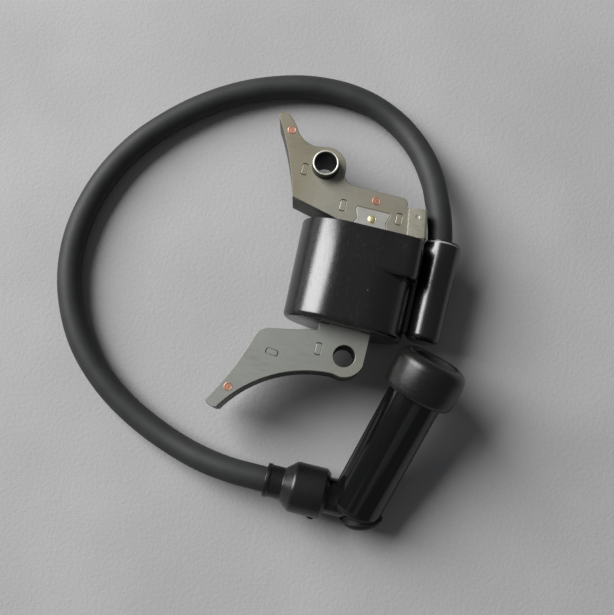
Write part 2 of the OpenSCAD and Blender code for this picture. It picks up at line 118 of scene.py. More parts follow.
ROUTE = [
    (26, 6, 14), (26, 9, 14), (25.8, 13, 14), (25.4, 16.2, 14), (24.9, 19.4, 14),
    (24, 23.5, 13.9), (22.8, 28, 13.3), (21.3, 32.5, 12.2), (19.3, 38, 10.4), (15.3, 45.5, 7.8),
    (10, 52, 5.6), (3.5, 57.2, 4.2),
    (-4.5, 60.9, LEAD_Z), (-13, 62.6, LEAD_Z), (-21.5, 62.7, LEAD_Z), (-30, 61.4, LEAD_Z),
    (-38.6, 58.8, LEAD_Z), (-46.9, 55.1, LEAD_Z), (-54.7, 50.4, LEAD_Z), (-62, 44.7, LEAD_Z),
    (-68.7, 38.2, LEAD_Z), (-74.7, 30.9, LEAD_Z), (-79.5, 22.9, LEAD_Z), (-83.1, 14.1, LEAD_Z),
    (-85.3, 4.9, LEAD_Z), (-86, -4.4, LEAD_Z), (-85, -13.7, LEAD_Z), (-82.3, -22.6, LEAD_Z),
    (-78.1, -31, LEAD_Z), (-72.4, -38.6, LEAD_Z), (-65.3, -45.1, LEAD_Z),
    (-57.2, -50.6, LEAD_Z), (-48.4, -55, 4), (-39.3, -58.4, 5), (-30.1, -60.8, 6.7),
    (-21, -62, 8.1), (-12, CAP_Y, CAP_Z), (-2, CAP_Y, CAP_Z), (9, CAP_Y, CAP_Z)]

# Frames that turn a piece's own +Z to the axes of the tube, the heel and the lead's last stretch
TUBE_FRAME = (
    Matrix.Translation(ELBOW * MM)
    @ Matrix.Rotation(CAP_TILT, 4, "X")
    @ Matrix.Rotation(-ELBOW_LEAN, 4, "Z")
    @ Matrix.Rotation(-math.pi / 2, 4, "X")
)
HEEL_FRAME = (
    Matrix.Translation(ELBOW * MM)
    @ Matrix.Rotation(CAP_TILT, 4, "X")
    @ Matrix.Rotation(ELBOW_LEAN, 4, "Z")
    @ Matrix.Translation((HEEL_SHIFT * MM, 0, 0))
    @ Matrix.Rotation(math.pi / 2, 4, "X")
)
LEAD_FRAME = Matrix.Translation((0, CAP_Y * MM, CAP_Z * MM)) @ Matrix.Rotation(
    math.pi / 2, 4, "Y"
)
# Turns +Z to +Y through the tower's axis
TOWER_FRAME = Matrix.Translation((TOWER_X * MM, 0, AXIS_Z * MM)) @ Matrix.Rotation(
    -math.pi / 2, 4, "X"
)


# ---- Mesh tools -----------------------------------------------------------------------

def solid(verts, faces, name="tool"):
    """A closed mesh object from vertices in millimetres, with its faces turned outwards."""
    mesh = bpy.data.meshes.new(name)
    mesh.from_pydata([Vector(v) * MM for v in verts], [], faces)
    bm = bmesh.new()
    bm.from_mesh(mesh)
    bmesh.ops.remove_doubles(bm, verts=bm.verts, dist=1e-7)
    bmesh.ops.recalc_face_normals(bm, faces=bm.faces)
    bm.to_mesh(mesh)
    bm.free()
    obj = bpy.data.objects.new(name, mesh)
    bpy.context.scene.collection.objects.link(obj)
    return obj


def piece(name, verts, faces, body, slot, smooth=35):
    """A solid in the look of its material slot, riding on a body."""
    obj = solid(verts, faces, name)
    dress(obj, slot)
    shade(obj, smooth)
    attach(obj, body)
    return obj


def dress(obj, *looks):
    """Gives an object these looks and no others, numbered from 0 for its faces."""
    obj.data.materials.clear()
    for look in looks:
        obj.data.materials.append(LOOKS[look])


def faces_along(obj, axes):
    """An object's faces, each with its centre in millimetres along a frame's own axes."""
    inverse = axes.inverted()
    return [(face, inverse @ face.center / MM) for face in obj.data.polygons]


def shade(obj, angle):
    """Smooth shading that stays sharp where faces meet at more than an angle in degrees."""
    obj.data.shade_smooth()
    obj.data.set_sharp_from_angle(angle=math.radians(angle))


def soften(obj, width, angle=32):
    """Rounds an object's edges with modifiers, which leave its own mesh as it is."""
    weld = obj.modifiers.new("weld", "WELD")
    weld.merge_threshold = 1e-6
    bevel = obj.modifiers.new("edges", "BEVEL")
    bevel.width = width * MM
    bevel.segments = 3
    bevel.limit_method = "ANGLE"
    bevel.angle_limit = math.radians(angle)
    bevel.use_clamp_overlap = True
    bevel.harden_normals = True


def rounded(points, radii, steps=6, closed=False):
    """Polyline with an arc of the given radius at each corner."""
    count = len(points)
    made = []
    for i, p in enumerate(points):
        p = Vector(p)
        radius = radii[i] if isinstance(radii, (list, tuple)) else radii
        if radius <= 0 or (not closed and i in (0, count - 1)):
            made.append(p)
            continue
        before = (Vector(points[i - 1]) - p).normalized()
        after = (Vector(points[(i + 1) % count]) - p).normalized()
        half = before.angle(after) / 2
        reach = radius / math.tan(half)
        start, end = p + before * reach, p + after * reach
        centre = p + (before + after).normalized() * (radius / math.sin(half))
        spread = math.pi - 2 * half
        for k in range(steps + 1):
            share = k / steps
            a = math.sin((1 - share) * spread) / math.sin(spread)
            b = math.sin(share * spread) / math.sin(spread)
            made.append(centre + (start - centre) * a + (end - centre) * b)
    return made


def lathe(profile, steps):
    """Vertices and faces of a profile of (radius, height) turned about +Z."""
    verts, faces, rings = [], [], []
    for r, h in profile:
        if r < 1e-6:
            rings.append([len(verts)])
            verts.append((0, 0, h))
            continue
        rings.append([len(verts) + k for k in range(steps)])
        for k in range(steps):
            a = 2 * math.pi * k / steps
            verts.append((r * math.cos(a), r * math.sin(a), h))
    for low, high in zip(rings, rings[1:]):
        for k in range(steps):
            j = (k + 1) % steps
            if len(low) == 1 and len(high) > 1:
                faces.append((low[0], high[j], high[k]))
            elif len(high) == 1 and len(low) > 1:
                faces.append((low[k], low[j], high[0]))
            elif len(low) > 1:
                faces.append((low[k], low[j], high[j], high[k]))
    return verts, faces


def loft(rings):
    """Closed solid through rings of equal count, with a flat face at each end."""
    count = len(rings[0])
    verts = [tuple(v) for ring in rings for v in ring]
    faces = [list(range(count))[::-1], [(len(rings) - 1) * count + k for k in range(count)]]
    for i in range(len(rings) - 1):
        for k in range(count):
            j = (k + 1) % count
            faces.append((i * count + k, i * count + j, (i + 1) * count + j, (i + 1) * count + k))
    return verts, faces


def smooth_path(points):
    """Smooth curve through the points, as a dense list about a millimetre apart."""
    pts = [Vector(p) for p in points]
    pts = [2 * pts[0] - pts[1]] + pts + [2 * pts[-1] - pts[-2]]
    made = [pts[1]]
    for p0, p1, p2, p3 in zip(pts, pts[1:], pts[2:], pts[3:]):
        d0, d1, d2 = (p1 - p0).length, (p2 - p1).length, (p3 - p2).length
        m1 = (p2 - p0) / (d0 + d1)
        m2 = (p3 - p1) / (d1 + d2)
        count = max(2, int(d1) + 1)
        made += interpolate_bezier(p1, p1 + m1 * d1 / 3, p2 - m2 * d1 / 3, p2, count + 1)[1:]
    return made


def sweep(path, radius, sides):
    """Closed tube along a path, without twist. radius is a function of length so far and angle."""
    verts, faces = [], []
    up = Vector((0, 0, 1))
    run = 0.0
    for i, p in enumerate(path):
        ahead = path[min(i + 1, len(path) - 1)] - path[max(i - 1, 0)]
        ahead.normalize()
        side = ahead.cross(up).normalized()
        top = side.cross(ahead)
        if i:
            run += (p - path[i - 1]).length
        for k in range(sides):
            a = 2 * math.pi * k / sides
            r = radius(run, a)
            verts.append(p + side * r * math.cos(a) + top * r * math.sin(a))
    for i in range(len(path) - 1):
        for k in range(sides):
            j = (k + 1) % sides
            faces.append((i * sides + k, i * sides + j, (i + 1) * sides + j, (i + 1) * sides + k))
    faces.append(list(range(sides))[::-1])
    faces.append([(len(path) - 1) * sides + k for k in range(sides)])
    return verts, faces


def combine(base, added=(), cut=()):
    """Joins and cuts solids with exact booleans, and keeps only the result."""
    for tool, operation in [(t, "UNION") for t in added] + [(t, "DIFFERENCE") for t in cut]:
        step = base.modifiers.new(operation.lower(), "BOOLEAN")
        step.solver = "EXACT"
        step.operation = operation
        step.object = tool
    bpy.context.view_layer.update()
    graph = bpy.context.evaluated_depsgraph_get()
    mesh = bpy.data.meshes.new_from_object(base.evaluated_get(graph))
    base.modifiers.clear()
    base.data = mesh
    for tool in [*added, *cut]:
        bpy.data.objects.remove(tool)
    return base


def box_solid(low, high):
    """A solid block between two opposite corners."""
    corners = [(x, y, z) for x in (low[0], high[0]) for y in (low[1], high[1])
               for z in (low[2], high[2])]
    faces = [(0, 1, 3, 2), (4, 6, 7, 5), (0, 4, 5, 1), (2, 3, 7, 6), (0, 2, 6, 4), (1, 5, 7, 3)]
    return solid(corners, faces)


# ---- Materials ------------------------------------------------------------------------

class Look:
    """One procedural material around a Principled shader. Its coordinates are the piece's own."""

    def __init__(self, name, **values):
        self.material = bpy.data.materials.new(name)
        self.material.use_nodes = True
        self.tree = self.material.node_tree
        self.shader = self.tree.nodes["Principled BSDF"]
        for socket, value in values.items():
            self.shader.inputs[socket.replace("_", " ")].default_value = value
        self.coords = self.tree.nodes.new("ShaderNodeTexCoord").outputs["Object"]

    def link(self, source, target):
        self.tree.links.new(source, target)

    def node(self, kind, **settings):
        made = self.tree.nodes.new("ShaderNode" + kind)
        for name, value in settings.items():
            setattr(made, name, value)
        return made

    def placed(self, stretch=(1, 1, 1), turn=(0, 0, 0)):
        """Object coordinates in millimetres, stretched and turned."""
        mapping = self.node("Mapping")
        self.link(self.coords, mapping.inputs["Vector"])
        mapping.inputs["Rotation"].default_value = turn
        mapping.inputs["Scale"].default_value = [s / MM for s in stretch]
        return mapping.outputs["Vector"]

    def in_frame(self, axes, stretch):
        """Coordinates in millimetres along a frame's own axes, then stretched."""
        mapping = self.node("Mapping", vector_type="TEXTURE")
        self.link(self.coords, mapping.inputs["Vector"])
        mapping.inputs["Location"].default_value = axes.to_translation()
        mapping.inputs["Rotation"].default_value = axes.to_euler()
        mapping.inputs["Scale"].default_value = [MM / s for s in stretch]
        return mapping.outputs["Vector"]

    def along(self, axis):
        """The coordinate along one axis, in millimetres."""
        made = self.node("SeparateXYZ")
        self.link(self.placed(), made.inputs[0])
        return made.outputs[axis]

    def noise(self, scale, detail, rough, stretch=(1, 1, 1), turn=(0, 0, 0), warp=0, axes=None):
        """Noise with about scale features a millimetre."""
        made = self.node("TexNoise")
        place = self.in_frame(axes, stretch) if axes else self.placed(stretch, turn)
        self.link(place, made.inputs["Vector"])
        made.inputs["Scale"].default_value = scale
        made.inputs["Detail"].default_value = detail
        made.inputs["Roughness"].default_value = rough
        made.inputs["Distortion"].default_value = warp
        return made.outputs["Fac"]

    def cells(self, scale):
        """Distance to the nearest of scattered points, about scale of them a millimetre."""
        made = self.node("TexVoronoi", feature="F1")
        self.link(self.placed(), made.inputs["Vector"])
        made.inputs["Scale"].default_value = scale
        return made.outputs["Distance"]

    def ramp(self, source, low, high, out_low=0.0, out_high=1.0):
        """Maps low..high of a value to out_low..out_high, smoothly and with limits."""
        made = self.node("MapRange", interpolation_type="SMOOTHSTEP")
        self.link(source, made.inputs["Value"])
        made.inputs["From Min"].default_value = low
        made.inputs["From Max"].default_value = high
        made.inputs["To Min"].default_value = out_low
        made.inputs["To Max"].default_value = out_high
        return made.outputs["Result"]

    def math(self, operation, a, b):
        made = self.node("Math", operation=operation)
        for socket, value in zip(made.inputs, (a, b)):
            if isinstance(value, (int, float)):
                socket.default_value = value
            else:
                self.link(value, socket)
        return made.outputs[0]

    def mix(self, share, a, b):
        """Colour a where share is 0, b where it is 1."""
        made = self.node("Mix", data_type="RGBA")
        self.link(share, made.inputs["Factor"])
        for socket, value in ((made.inputs[6], a), (made.inputs[7], b)):
            if isinstance(value, (tuple, list)):
                socket.default_value = (*value, 1)
            else:
                self.link(value, socket)
        return made.outputs[2]

    def colour(self, source):
        self.link(source, self.shader.inputs["Base Color"])

    def roughness(self, source):
        self.link(source, self.shader.inputs["Roughness"])

    def bump(self, *layers):
        """Height layers of (value, height in millimetres)."""
        normal = None
        for source, height in layers:
            made = self.node("Bump")
            made.inputs["Strength"].default_value = 1.0
            made.inputs["Distance"].default_value = height * MM
            self.link(source, made.inputs["Height"])
            if normal is not None:
                self.link(normal, made.inputs["Normal"])
            normal = made.outputs["Normal"]
        self.link(normal, self.shader.inputs["Normal"])


def steel_look(name, light, dark, stain, grain_turn=0.0, patch=None):
    """Bare lamination steel: fine rolled grain, dull patches and a faint oily tint.

    patch is (axis, where it begins, where it is full, colour) for a stretch of other sheet.
    """
    look = Look(name, Metallic=0.75)
    grain = look.noise(2.2, 4, 0.65, stretch=(0.12, 3.0, 3.0), turn=(0, 0, grain_turn))
    cloud = look.noise(0.09, 4, 0.55)
    speck = look.noise(2.6, 2, 0.5)
    base = look.mix(look.ramp(cloud, 0.35, 0.68), light, dark)
    base = look.mix(look.ramp(look.noise(0.045, 3, 0.5, warp=0.6), 0.5, 0.72, 0, 0.6), base, stain)
    if patch:
        axis, begins, full, tint = patch
        base = look.mix(look.ramp(look.along(axis), begins, full, 0, 0.85), base, tint)
    base = look.mix(look.ramp(speck, 0.66, 0.74, 0, 0.5), base, [c * 0.6 for c in dark])
    look.colour(base)
    look.roughness(look.math("ADD", look.ramp(grain, 0.3, 0.7, 0.0, 0.10),
                             look.ramp(cloud, 0.3, 0.7, 0.40, 0.52)))
    look.bump((grain, 0.006), (speck, 0.006))
    return look.material


def plated_look(name, tint, rough):
    """Bright plated steel with fine scratches and a slightly uneven plating."""
    look = Look(name, Metallic=1.0)
    grain = look.noise(1.5, 4, 0.7, stretch=(0.3, 2.5, 2.5), turn=(0, 0, 0.5))
    cloud = look.noise(0.4, 3, 0.5)
    look.colour(look.mix(look.ramp(cloud, 0.3, 0.75), tint, [c * 0.78 for c in tint]))
    look.roughness(look.math("ADD", look.ramp(grain, 0.3, 0.75, 0, 0.14),
                             look.ramp(cloud, 0.3, 0.8, rough, rough + 0.1)))
    look.bump((grain, 0.008), (cloud, 0.02))
    return look.material


def rivet_look(name, tint, dull):
    """Upset rivet head: finely marked, tarnished in patches."""
    look = Look(name, Metallic=0.85)
    cloud = look.noise(0.9, 4, 0.6)
    fine = look.noise(5, 3, 0.6)
    look.colour(look.mix(look.ramp(cloud, 0.35, 0.7), tint, dull))
    look.roughness(look.ramp(fine, 0.3, 0.75, 0.32, 0.55))
    look.bump((fine, 0.012), (cloud, 0.03))
    return look.material


def moulded_look(name, tint, rough, streak):
    """Glossy black moulding: soft waviness, a fine haze of wear and a few pale nicks."""
    look = Look(name, IOR=1.62)
    wave = look.noise(0.06, 2, 0.4, stretch=streak)
    fine = look.noise(1.6, 5, 0.7, stretch=streak)
    patch = look.noise(0.16, 3, 0.6)
    worn = look.math("MULTIPLY", look.ramp(fine, 0.52, 0.72), look.ramp(patch, 0.42, 0.66))
    specks = look.ramp(look.cells(0.30), 0.0, 0.06, 1, 0)
    specks = look.math("MULTIPLY", specks, look.ramp(look.noise(0.2, 2, 0.5), 0.58, 0.64))
    base = look.mix(look.math("MULTIPLY", worn, 0.15), tint, (0.05, 0.05, 0.05))
    base = look.mix(look.math("MULTIPLY", specks, 0.8), base, (0.30, 0.30, 0.31))
    look.colour(base)
    dull = look.math("ADD", look.ramp(fine, 0.3, 0.75, rough, rough + 0.06),
                     look.math("MULTIPLY", worn, 0.10))
    look.roughness(look.math("ADD", dull, look.math("MULTIPLY", specks, 0.3)))
    look.bump((wave, 0.006), (fine, 0.003))
    return look.material


def tube_look(name, tint, rough):
    """Glossy black moulding along the cap's tube, with long soft lighter lines and fine flecks that are
    painted reflections of the room.
    """
    look = Look(name, IOR=1.42)
    painted_reflection_streaks = look.noise(0.42, 2, 0.5, stretch=(1, 1, 0.03), axes=TUBE_FRAME)
    fine = look.noise(1.5, 4, 0.6, stretch=(1, 1, 0.06), axes=TUBE_FRAME)
    # Painted reflection: lighter lines and flecks stand in for the room mirrored in the tube.
    base = look.mix(look.ramp(painted_reflection_streaks, 0.52, 0.68, 0, 1.0), tint, (0.011, 0.0113, 0.0113))
    base = look.mix(look.ramp(fine, 0.62, 0.78, 0, 0.5), base, (0.018, 0.018, 0.018))
    look.colour(base)
    look.roughness(look.ramp(fine, 0.35, 0.8, rough, rough + 0.08))
    look.bump((painted_reflection_streaks, 0.02), (fine, 0.003))
    return look.material


def rubber_look(name, tint, pale, rough, dust, shine=0.5):
    """Black rubber: matte, slightly mottled, with pale talc-like dust and a fine pebble."""
    look = Look(name, IOR=1.45, Specular_IOR_Level=shine)
    pebble = look.noise(4.5, 3, 0.55)
    cloud = look.noise(0.10, 4, 0.6)
    dusty = look.noise(1.6, 5, 0.7)
    base = look.mix(look.ramp(cloud, 0.3, 0.7), tint, pale)
    base = look.mix(look.ramp(dusty, 0.56, 0.78, 0, dust), base, [min(1, c * 3.0) for c in pale])
    look.colour(base)
    look.roughness(look.math("ADD", look.ramp(dusty, 0.3, 0.7, rough, rough + 0.10),
                             look.ramp(pebble, 0.3, 0.7, 0, 0.05)))
    look.bump((pebble, 0.008), (cloud, 0.03))
    return look.material


def plain_part_look(name, tint, other, metallic=0.0, rough=0.45, scale=0.8):
    """Small hidden parts: mottled colour, fine grain."""
    look = Look(name, Metallic=metallic)
    cloud = look.noise(scale, 4, 0.6)
    fine = look.noise(scale * 6, 3, 0.6)
    look.colour(look.mix(look.ramp(cloud, 0.3, 0.7), tint, other))
    look.roughness(look.ramp(fine, 0.3, 0.7, rough - 0.08, rough + 0.1))
    look.bump((fine, 0.02))
    return look.material


def winding_look(name, tint, dark, pitch):
    """Enamelled wire laid in turns that run round the limb."""
    look = Look(name, Metallic=0.9)
    made = look.node("TexWave", wave_type="BANDS", bands_direction="Y", wave_profile="SIN")
    look.link(look.placed(), made.inputs["Vector"])
    made.inputs["Scale"].default_value = 1 / pitch / 3.2
    turns = made.outputs["Fac"]
    look.colour(look.mix(look.ramp(turns, 0.1, 0.7), dark, tint))
    look.roughness(look.ramp(look.noise(1.5, 3, 0.5), 0.3, 0.7, 0.25, 0.4))
    look.bump((turns, 0.12))
    return look.material


LOOKS = {
    "core_steel": steel_look("core_steel", (0.265, 0.272, 0.250), (0.222, 0.230, 0.208),
                             (0.240, 0.226, 0.186), patch=("Y", 15.2, 16.2, (0.40, 0.39, 0.36))),
    "core_steel_tinted": steel_look("core_steel_tinted", (0.295, 0.285, 0.238),
                                    (0.242, 0.232, 0.188), (0.240, 0.208, 0.148), 0.3,
                                    patch=("X", -13, -22, (0.205, 0.186, 0.132))),
    # Painted shade: a much darker steel for the core's sides and hole walls.
    "painted_shade_side_steel": steel_look("painted_shade_side_steel", (0.080, 0.078, 0.072), (0.050, 0.048, 0.044),
                               (0.065, 0.056, 0.045)),
    # Painted shade: near-black for the insides of the cap's chambers and the collar.
    "painted_shade_cavity": plain_part_look("painted_shade_cavity", (0.002, 0.002, 0.002), (0.004, 0.004, 0.004),
                                    rough=0.8),
    # Painted shade: dark walls for the sleeve's bore and outside.
    "painted_shade_sleeve_wall": plain_part_look("painted_shade_sleeve_wall", (0.05, 0.045, 0.04), (0.03, 0.028, 0.026),
                                  0.5, 0.5, 0.6),
    "brass": rivet_look("brass", (0.66, 0.58, 0.36), (0.46, 0.40, 0.23)),
    "coppered_rivet": rivet_look("coppered_rivet", (0.52, 0.26, 0.18), (0.38, 0.24, 0.18)),
    "plated_steel": plated_look("plated_steel", (0.72, 0.71, 0.63), 0.36),
    "clip_plating": plated_look("clip_plating", (0.50, 0.485, 0.39), 0.42),
    "case_plastic": moulded_look("case_plastic", (0.0065, 0.0065, 0.0063), 0.22,
                                 streak=(1, 0.3, 1)),
    # Painted highlight: a pale grey band for the tower's rim.
    "painted_highlight_rim": plain_part_look("painted_highlight_rim", (0.30, 0.30, 0.31), (0.12, 0.12, 0.12),
                                   rough=0.4, scale=0.5),
    "potting_resin": plain_part_look("potting_resin", (0.020, 0.018, 0.016),
                                     (0.035, 0.030, 0.026), rough=0.3, scale=0.3),
    "bobbin_plastic": plain_part_look("bobbin_plastic", (0.70, 0.67, 0.58), (0.62, 0.58, 0.48)),
    "enamelled_copper": winding_look("enamelled_copper", (0.62, 0.25, 0.10),
                                     (0.20, 0.06, 0.03), 0.5),
    "circuit_board": plain_part_look("circuit_board", (0.03, 0.16, 0.06), (0.02, 0.10, 0.04)),
    "component_black": plain_part_look("component_black", (0.02, 0.02, 0.02),
                                       (0.035, 0.035, 0.035)),
    "seal_rubber": rubber_look("seal_rubber", (0.0055, 0.0055, 0.0052), (0.0075, 0.0075, 0.007),
                               0.25, 0.02),
    "lead_rubber": rubber_look("lead_rubber", (0.021, 0.0215, 0.0215), (0.027, 0.028, 0.0275),
                               0.50, 0.12, shine=0.3),
    "stranded_copper": plain_part_look("stranded_copper", (0.72, 0.36, 0.20),
                                       (0.55, 0.24, 0.12), metallic=1.0, rough=0.35, scale=2),
    "boot_rubber": rubber_look("boot_rubber", (0.0055, 0.0057, 0.0055), (0.009, 0.009, 0.0085),
                               0.22, 0.08),
    "cap_plastic": tube_look("cap_plastic", (0.0030, 0.0031, 0.0030), 0.10),
    "heel_plastic": rubber_look("heel_plastic", (0.004, 0.004, 0.004), (0.006, 0.006, 0.006),
                                0.42, 0.05, shine=0.35),
    "spring_steel": plated_look("spring_steel", (0.55, 0.55, 0.53), 0.3),
    "resistor_ceramic": plain_part_look("resistor_ceramic", (0.78, 0.76, 0.70),
                                        (0.68, 0.65, 0.57), rough=0.6),
}


# ---- Camera ---------------------------------------------------------------------------

def add_camera():
    """Nearly overhead, a little towards -Y."""
    place = Vector((-1.3, -51.6, 275.0))
    forward = Vector((-0.0310, 0.1575, -0.9870)).normalized()
    right = Vector((0.9707, 0.2402, 0.0))
    right = (right - forward * right.dot(forward)).normalized()
    up = right.cross(forward)
    data = bpy.data.cameras.new("camera")
    data.sensor_width = 36
    data.lens = 51.6
    data.clip_start = 0.01
    camera = bpy.data.objects.new("camera", data)
    bpy.context.scene.collection.objects.link(camera)
    axes = Matrix((right, up, -forward)).transposed().to_4x4()
    camera.matrix_world = Matrix.Translation(place * MM) @ axes
    bpy.context.scene.camera = camera


add_camera()


# ---- High-tension lead ----------------------------------------------------------------

def make_lead():
    """The lead's jacket along its route, very slightly uneven."""
    path = smooth_path(ROUTE)

    def radius(run, angle):
        return LEAD_RADIUS + 0.02 * math.sin(run * 0.35 + math.sin(angle) * 0.8)

    verts, faces = sweep(path, radius, 48)
    lead = piece("lead", verts, faces, COIL, "lead_rubber", smooth=60)
    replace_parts(lead, "lead_insulation")
    return lead, [p * MM for p in path]


lead, lead_path = make_lead()


# ---- Laminated core -------------------------------------------------------------------

def face_loops(obj, height):
    """Closed outlines of the flat face at a height, as lists of (x, y) in millimetres."""
    bm = bmesh.new()
    bm.from_mesh(obj.data)
    bmesh.ops.remove_doubles(bm, verts=bm.verts, dist=1e-6)
    flat = {f for f in bm.faces if all(abs(v.co.z / MM - height) < 0.01 for v in f.verts)}
    rim = {}
    for e in bm.edges:
        if len([f for f in e.link_faces if f in flat]) == 1:
            for v, w in (e.verts, reversed(e.verts)):
                rim.setdefault(v.index, []).append(w.index)
    places = {v.index: (v.co.x / MM, v.co.y / MM) for v in bm.verts}
    bm.free()
    loops, left = [], set(rim)
    while left:
        start = min(left)
        loop, at, came = [start], rim[start][0], start
        while at != start:
            loop.append(at)
            onward = [w for w in rim[at] if w != came]
            came, at = at, onward[0]
        left -= set(loop)
        loops.append([places[i] for i in loop])
    return loops


def signed_area(loop):
    """Area inside a loop, above 0 where it runs anticlockwise."""
    return sum(a[0] * b[1] - b[0] * a[1] for a, b in zip(loop, loop[1:] + loop[:1])) / 2


def shrunk(loop, margin):
    """The loop moved by a margin into the material, which lies on its left."""
    made = []
    for i, p in enumerate(loop):
        p = Vector(p)
        before = (p - Vector(loop[i - 1])).normalized()
        after = (Vector(loop[(i + 1) % len(loop)]) - p).normalized()
        inward = Vector((-before.y - after.y, before.x + after.x))
        if inward.length < 1e-6:
            made.append(tuple(p))
            continue
        inward.normalize()
        lean = max(0.5, inward.dot(Vector((-before.y, before.x))))
        made.append(tuple(p + inward * margin / lean))
    return made


def mark_ring(loop, z, margin, depth=0.0):
    """Rounded outline of a punched mark, taken in by a margin and sunk most at its short ends."""
    corners = [Vector((x, y, z)) for x, y in loop]
    centre = sum(corners, Vector()) / len(corners)
    sides = [b - a for a, b in zip(corners, corners[1:] + corners[:1])]
    sides.sort(key=lambda side: side.length)
    length = sides[-1].length / 2 - margin
    width = sides[0].length / 2 - 0.1 - margin
    along, across = sides[-1].normalized(), sides[0].normalized()
    outline = rounded([(-width, -length), (width, -length), (width, length), (-width, length)],
                      width * 0.75, 5, closed=True)
    made = []
    for p in outline:
        sunk = Vector((0, 0, -depth * (0.4 + (p.y / length) ** 4)))
        made.append(centre + across * p.x + along * p.y + sunk)
    return made


def stack_outlines(source):
    """Outlines that run through the stack, material on their left, and its punched marks."""
    top = face_loops(source, CORE_TOP)
    bottom = face_loops(source, CORE_BOTTOM)

    def alike(a, b):
        return abs(abs(signed_area(a)) - abs(signed_area(b))) < 0.01

    through = [low for low in bottom if any(len(t) == len(low) and alike(t, low) for t in top)]
    marks = [t for t in top if not any(alike(t, low) for low in through)]
    outer = max(through, key=lambda loop: abs(signed_area(loop)))
    turned_loops = []
    for loop in through:
        anticlockwise = signed_area(loop) > 0
        turned_loops.append(loop if anticlockwise == (loop is outer) else loop[::-1])
    return turned_loops, marks


def sheet_levels():
    """(height, margin) up a stack's side: worn edges at both ends, a groove at every joint."""
    count = round((CORE_TOP - CORE_BOTTOM) / SHEET)
    levels = [(CORE_BOTTOM, SHEET_BOTTOM_WEAR), (CORE_BOTTOM + 0.10, 0.0)]
    for i in range(1, count):
        joint = CORE_BOTTOM + i * SHEET
        levels += [(joint - 0.06, 0.0), (joint, SHEET_GROOVE), (joint + 0.03, 0.0)]
    return levels + [(CORE_TOP - SHEET_TOP_WEAR, 0.0), (CORE_TOP, SHEET_TOP_WEAR)]


def new_ring(bm, points):
    """New vertices at points in millimetres."""
    return [bm.verts.new((x * MM, y * MM, z * MM)) for x, y, z in points]


def ring_edges(bm, ring):
    """New edges that close a ring of vertices."""
    return [bm.edges.new((a, b)) for a, b in zip(ring, ring[1:] + ring[:1])]


def bridge(bm, low, high):
    """Faces between two rings of equal count."""
    for k in range(len(low)):
        j = (k + 1) % len(low)
        bm.faces.new((low[k], low[j], high[j], high[k]))


def add_mark(bm, loop):
    """A punched mark sunk into the top sheet. Returns the edges of its rim."""
    rim = new_ring(bm, mark_ring(loop, CORE_TOP, 0.0))
    low = new_ring(bm, mark_ring(loop, CORE_TOP, 0.13, 0.22))
    pad = new_ring(bm, mark_ring(loop, CORE_TOP - 0.04, 0.28))
    edges = ring_edges(bm, rim)
    bridge(bm, low, rim)
    bridge(bm, pad, low)
    bm.faces.new(pad)
    return edges


def make_stack(node, slot):
    """A core stack as punched sheets, with its sides, hole walls, bottom and steep mark walls in a
    darker steel that is painted shade.
    """
    loops, marks = stack_outlines(nodes[node])
    levels = sheet_levels()
    bm = bmesh.new()
    bottom_edges, top_edges = [], []
    for loop in loops:
        rings = [new_ring(bm, [(x, y, z) for x, y in shrunk(loop, margin)])
                 for z, margin in levels]
        bottom_edges += ring_edges(bm, rings[0])
        top_edges += ring_edges(bm, rings[-1])
        for low, high in zip(rings, rings[1:]):
            bridge(bm, low, high)
    for loop in marks:
        top_edges += add_mark(bm, loop)
    for edges in (bottom_edges, top_edges):
        bmesh.ops.triangle_fill(bm, use_beauty=True, use_dissolve=False, edges=edges)
    bmesh.ops.recalc_face_normals(bm, faces=bm.faces)
    mesh = bpy.data.meshes.new(node + "_sheets")
    bm.to_mesh(mesh)
    bm.free()
    obj = bpy.data.objects.new(node + "_sheets", mesh)
    bpy.context.scene.collection.objects.link(obj)
    dress(obj, slot, "painted_shade_side_steel")
    # Painted shade: the sides, hole walls, bottom and steep mark walls take the darker steel; only the
    # top and its chamfer keep the sheet's own colour.
    for face in mesh.polygons:
        if abs(face.normal.z) < 0.6 or face.center.z < (CORE_TOP - 0.3) * MM:
            face.material_index = 1
    shade(obj, 25)
    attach(obj, COIL)
    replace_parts(obj, node)


make_stack("core_leg", "core_steel")
make_stack("core_arm", "core_steel_tinted")


# ---- Coil case ------------------------------------------------------------------------

def stadium(margin, y, lean=None):
    """Round-ended outline of the case, whose left side leans in towards the closed end."""
    r = CASE_RADIUS - margin
    if lean is None:
        lean = CASE_LEAN * min(1, (CASE_MOUTH - y) / (CASE_MOUTH - CASE_BOTTOM - 2 * CASE_RIM))
    left, right = CASE_LEFT + CASE_RADIUS + lean, CASE_RIGHT - CASE_RADIUS
    steps = 48
    ring = []
    for middle, first in ((left, math.pi / 2), (right, -math.pi / 2)):
        for k in range(steps + 1):
            a = first + math.pi * k / steps
            ring.append((middle + r * math.cos(a), y, AXIS_Z + r * math.sin(a)))
    return ring


def rim_levels(start, rim, steps=6):
    """Margins of a rounded rim that begins at a height."""
    return [(start + rim * (1 - math.cos(a)), rim * (1 - math.sin(a)))
            for a in (math.pi / 2 * k / steps for k in range(steps + 1))]


def box_rings(low, high, radius, edge, steps):
    """Rings of a block whose upright corners and upper and lower edges are round."""
    bottom, top = low[2], high[2]
    lower = rim_levels(bottom, edge, steps)
    upper = [(top - (z - bottom), m) for z, m in reversed(lower)]
    rings = []
    for z, margin in lower + upper:
        corners = [(low[0] + margin, low[1] + margin), (high[0] - margin, low[1] + margin),
                   (high[0] - margin, high[1] - margin), (low[0] + margin, high[1] - margin)]
        outline = rounded(corners, max(radius - margin, 0.05), steps, closed=True)
        rings.append([(p.x, p.y, z) for p in outline])
    return rings


